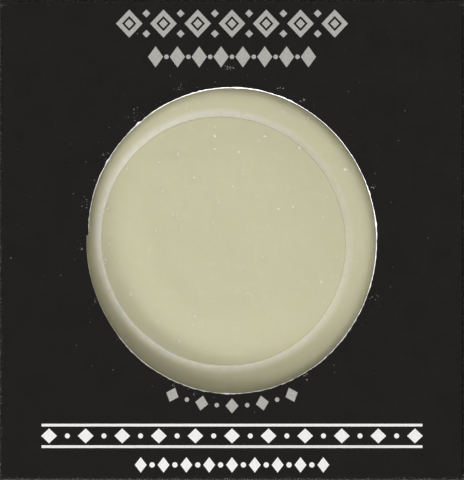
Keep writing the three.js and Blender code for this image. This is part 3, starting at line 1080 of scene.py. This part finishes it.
def soap_skin(point):
    """The small unevenness of stamped soap at a point in millimetres."""
    return sum(height * noise.noise(point / size + shift) for height, size, shift in SKIN_LAYERS)


def on_soap(radius, angle):
    """The stamped surface's point, from the puck's middle and without the skin's unevenness."""
    return Vector((radius * math.cos(angle), radius * math.sin(angle), puck_height(radius, angle)))


def make_puck(soap):
    spokes = PUCK_SPOKES
    radii = puck_radii()
    profile = [(radius, 1, None) for radius in radii]
    profile += [(PUCK_RADIUS + FLASH_HEIGHT * flash, 0, height) for height, flash in RIM_BAND]
    profile += [(radius, -1, None) for radius in reversed(radii)]
    vertices = []
    for radius, side, level in profile:
        for k in range(spokes):
            angle = 2 * math.pi * k / spokes
            height = side * puck_height(radius, angle) if side else level
            out = Vector((math.cos(angle), math.sin(angle), 0))
            near_rim = (radius / PUCK_RADIUS) ** 4
            oval = 1 + OUT_OF_ROUND * (1 - near_rim) * math.cos(2 * (angle - LONG_AXIS))
            point = out * radius * oval + Z * height
            lean = radius / PUCK_RADIUS
            normal = (out * lean * 0.4 + Z * math.copysign(1 - 0.6 * lean**4, height)).normalized()
            skin = normal * soap_skin(point) * (1 - SKIN_LOST_AT_RIM * near_rim)
            vertices.append(PUCK_CENTRE + point + skin)
    faces = []
    for ring in range(len(profile) - 1):
        for k in range(spokes):
            a = ring * spokes + k
            b = ring * spokes + (k + 1) % spokes
            faces.append([a, b, b + spokes, a + spokes])
    top = len(vertices)
    vertices.append(PUCK_CENTRE + Z * (PUCK_HALF + soap_skin(Z * PUCK_HALF)))
    vertices.append(PUCK_CENTRE - Z * (PUCK_HALF + soap_skin(-Z * PUCK_HALF)))
    last = (len(profile) - 1) * spokes
    for k in range(spokes):
        j = (k + 1) % spokes
        faces.append([top, k, j])
        faces.append([top + 1, last + j, last + k])
    puck = finish_mesh("soap", vertices, faces, [0] * len(faces), [soap])
    stand_for(puck, "soap_puck", "puck")


# ---------------------------------------------------------------- crumbs, dust and fibres
def crumb(rng, centre, size, flatness):
    """The corners and faces of one irregular grain."""
    grain = bmesh.new()
    bmesh.ops.create_icosphere(grain, subdivisions=1, radius=1.0)
    spin = Matrix.Rotation(rng.uniform(0, 2 * math.pi), 3, "Z")
    stretch = Vector((rng.uniform(0.7, 1.5), rng.uniform(0.6, 1.1), flatness))
    corners = []
    for vertex in grain.verts:
        lumpy = vertex.co * rng.uniform(0.7, 1.2)
        corners.append(centre + spin @ Vector(a * b * size for a, b in zip(lumpy, stretch)))
    faces = [[vertex.index for vertex in face.verts] for face in grain.faces]
    grain.free()
    return corners, faces


def scatter(name, material, spots, body, rng):
    vertices, faces = [], []
    for centre, size, flatness in spots:
        corners, sides = crumb(rng, centre, size, flatness)
        faces += [[len(vertices) + i for i in side] for side in sides]
        vertices += corners
    piece = finish_mesh(name, vertices, faces, [0] * len(faces), [material])
    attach(piece, body)


CRUMBS = 150
CRUMB_REACH = 0.72
CRUMBS_MISSING_RIGHT = 0.35
CRUMB_SIZE, CRUMB_SPREAD, CRUMB_FLATNESS = 0.07, 0.21, 0.18
RIDGE_CRUMBS = [math.radians(a) for a in (-4, -43, -46, 205)]
RIDGE_CRUMB_SIZE, RIDGE_CRUMB_FLATNESS = 0.16, 0.5


def make_soap_crumbs(material):
    rng = random.Random(SEED)
    spots = []

    def add(point, size, flatness):
        spots.append((PUCK_CENTRE + point + Z * soap_skin(point), size, flatness))

    while len(spots) < CRUMBS:
        radius = PUCK_RADIUS * CRUMB_REACH * math.sqrt(rng.random())
        point = on_soap(radius, rng.uniform(0, 2 * math.pi))
        if point.x > 0 and rng.random() < CRUMBS_MISSING_RIGHT:
            continue
        add(point, CRUMB_SIZE + CRUMB_SPREAD * rng.random() ** 2, CRUMB_FLATNESS)
    for angle in RIDGE_CRUMBS:
        add(on_soap(CREST_RADIUS + 0.3, angle), RIDGE_CRUMB_SIZE, RIDGE_CRUMB_FLATNESS)
    scatter("soap_crumbs", material, spots, "puck", rng)


# Where dust has gathered on the front: angle about the window, distance from its edge, spread, grains.
DUST_CLUSTERS = [
    (91, 2.9, 0.45, 34),
    (110, 1.2, 0.35, 9),
    (129, 0.9, 0.50, 16),
    (62, 0.7, 0.30, 12),
    (71, 0.8, 0.25, 6),
    (148, 0.8, 0.40, 12),
    (166, 0.8, 0.30, 8),
    (183, 1.0, 0.30, 6),
    (203, 0.5, 0.25, 10),
    (247, 0.5, 0.20, 8),
    (256, 0.9, 0.20, 6),
    (338, 1.1, 0.50, 10),
    (20, 0.6, 0.30, 8),
    (300, 0.7, 0.40, 8),
]
STRAY_GRAINS = 170


def make_board_dust(material):
    """Pale grains on the front of the carton, gathered near the window, and a few strays."""
    rng = random.Random(SEED + 1)
    spots = []

    def add(angle, out, size):
        ray = cmath.exp(1j * angle)
        spot = window_ellipse(ray) + out * ray
        if abs(spot.real) < HALF_WIDTH - 1 and abs(spot.imag) < HALF_HEIGHT - 1:
            height = DEPTH + 0.08 + 0.25 * size
            spots.append((Vector((spot.real, spot.imag, height)), size, 0.35))

    for degrees, out, spread, count in DUST_CLUSTERS:
        for _ in range(count):
            angle = math.radians(degrees) + rng.gauss(0, spread) / WINDOW_HALF_WIDTH
            add(angle, max(0.3, out + rng.gauss(0, spread)), 0.03 + 0.09 * rng.random() ** 3)
    for _ in range(STRAY_GRAINS):
        near = rng.random() < 0.65
        out = 0.35 + (rng.expovariate(0.4) if near else rng.uniform(0, 20))
        add(rng.uniform(0, 2 * math.pi), out, 0.02 + 0.07 * rng.random() ** 4)
    scatter("board_dust", material, spots, "carton", rng)


FIBRES_AT_NICK, STRAY_FIBRES = 6, 60
FIBRE_SIDES, FIBRE_STEPS = 5, 6


def make_window_fibres(material):
    """Loose paper fibres at the window's edge, most at the nicks. They start on the CAD's ellipse,
    which lies a little way inside the board at the top."""
    rng = random.Random(SEED + 2)
    nicks = [nick for nick in NICK_ANGLES for _ in range(FIBRES_AT_NICK)]
    roots = [(nick + rng.gauss(0, 0.012), rng.uniform(0.35, 0.8)) for nick in nicks]
    roots += [(rng.uniform(0, 2 * math.pi), rng.uniform(0.15, 0.45)) for _ in range(STRAY_FIBRES)]
    vertices, faces = [], []
    sides, steps = FIBRE_SIDES, FIBRE_STEPS
    for angle, length in roots:
        ray = cmath.exp(1j * angle)
        edge = window_ellipse(ray)
        heading = -ray * cmath.exp(1j * rng.uniform(-1.2, 1.2)) * rng.choice((1, 1, -1))
        curl = rng.uniform(-1.4, 1.4)
        thick = rng.uniform(0.014, 0.026)
        spot = Vector((edge.real, edge.imag, DEPTH - rng.uniform(0.0, 0.2)))
        base = len(vertices)
        for k in range(steps + 1):
            across = Vector((-heading.imag, heading.real, 0))
            taper = thick * (1 - 0.6 * k / steps)
            for s in range(sides):
                turn = 2 * math.pi * s / sides
                vertices.append(spot + taper * (across * math.cos(turn) + Z * math.sin(turn)))
            spot = spot + Vector((heading.real, heading.imag, rng.uniform(-0.1, 0.3))) * (length / steps)
            heading *= cmath.exp(1j * curl / steps)
        for k in range(steps):
            for s in range(sides):
                a = base + k * sides + s
                b = base + k * sides + (s + 1) % sides
                faces.append([a, b, b + sides, a + sides])
        faces.append([base + s for s in range(sides)])
        faces.append([base + steps * sides + s for s in range(sides)])
    piece = finish_mesh("window_fibres", vertices, faces, [0] * len(faces), [material])
    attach(piece, "carton")


FLOOR_REACH, FLOOR_LEVEL = 900.0, -0.03


def make_floor():
    outline = rectangle(-FLOOR_REACH, -FLOOR_REACH, FLOOR_REACH, FLOOR_REACH)
    corners = [(corner.real, corner.imag, FLOOR_LEVEL) for corner in outline]
    floor = finish_mesh("floor", corners, [[0, 1, 2, 3]], [0], [make_floor_material()])


# ---------------------------------------------------------------- build
make_camera()
make_lights()

black_board = make_black_board()
raw_board = make_raw_board()
board_core = make_board_core()
silver_ink = make_print_ink("silver_ink", SILVER_DARK, SILVER_LIGHT, 0.25)
white_ink = make_print_ink("white_ink", WHITE_DARK, WHITE_LIGHT, 0.0)
board_materials = [black_board, raw_board, board_core, silver_ink, white_ink]

make_fixed_panels(board_materials)
make_end(board_materials[:3], "top", Matrix.Identity(4), ("left", "right"))
make_end(board_materials[:3], "bottom", HALF_TURN, ("right", "left"))

glue_node = frame["nodes"]["glue_line"]
glue_node.data.materials.clear()
glue_node.data.materials.append(make_glue())

make_puck(make_soap())
make_soap_crumbs(make_dust("soap_crumb", CRUMB_DARK, CRUMB_LIGHT))
make_board_dust(make_dust("pale_dust", DUST_DARK, DUST_LIGHT))
make_window_fibres(board_core)
make_floor()
